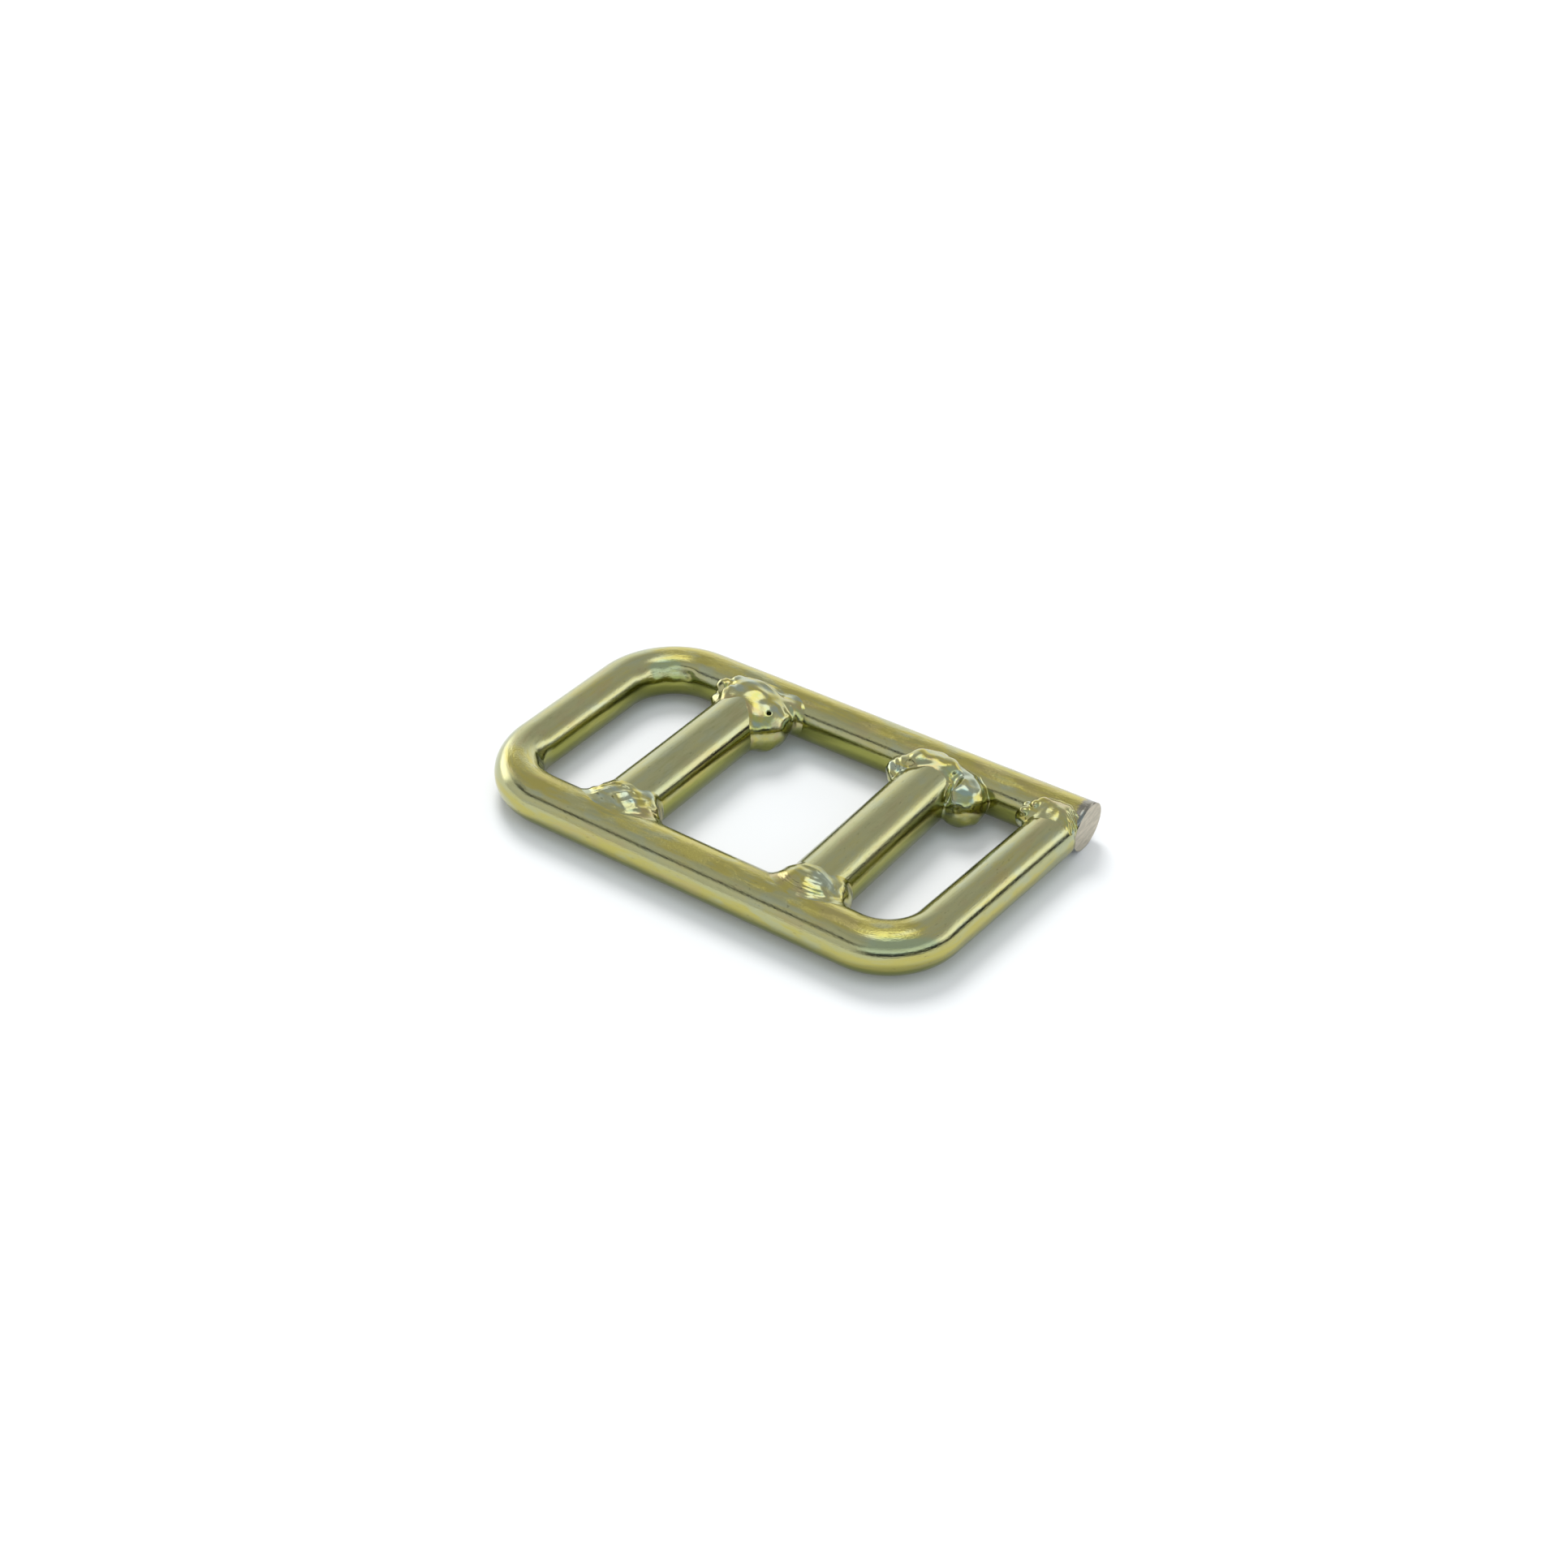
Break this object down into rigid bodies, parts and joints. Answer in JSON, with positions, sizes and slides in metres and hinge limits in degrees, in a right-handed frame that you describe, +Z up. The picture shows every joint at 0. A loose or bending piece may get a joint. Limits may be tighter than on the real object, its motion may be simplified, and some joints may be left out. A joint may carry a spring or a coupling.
{
  "type": "one-way buckle",
  "caption": "Ladder-shaped strap buckle bent from round steel rod, with welded crossbars that trap flat webbing so that it slides one way.",
  "frame": {"origin": "centre of the buckle's bounding box in plan, on the surface it lies on", "axes": "+X along the rails from the bent end bar to the welded closing bar, +Y across from the near rail to the far rail with the cut end, +Z up"},
  "size_m": [0.1086, 0.063, 0.0136],
  "materials": {
    "zinc_plated_rod": "yellow passivated zinc plating, semi-gloss, with fine draw marks",
    "zinc_plated_weld": "yellow passivated zinc plating over rippled weld metal, semi-gloss"
  },
  "bodies": {
    "root": {"frame": "zinc_plated_rod", "left_crossbar": "zinc_plated_rod", "right_crossbar": "zinc_plated_rod", "far_left_weld": "zinc_plated_weld", "near_left_weld": "zinc_plated_weld", "far_right_weld": "zinc_plated_weld", "near_right_weld": "zinc_plated_weld", "closing_weld": "zinc_plated_weld"}
  },
  "joints": []
}
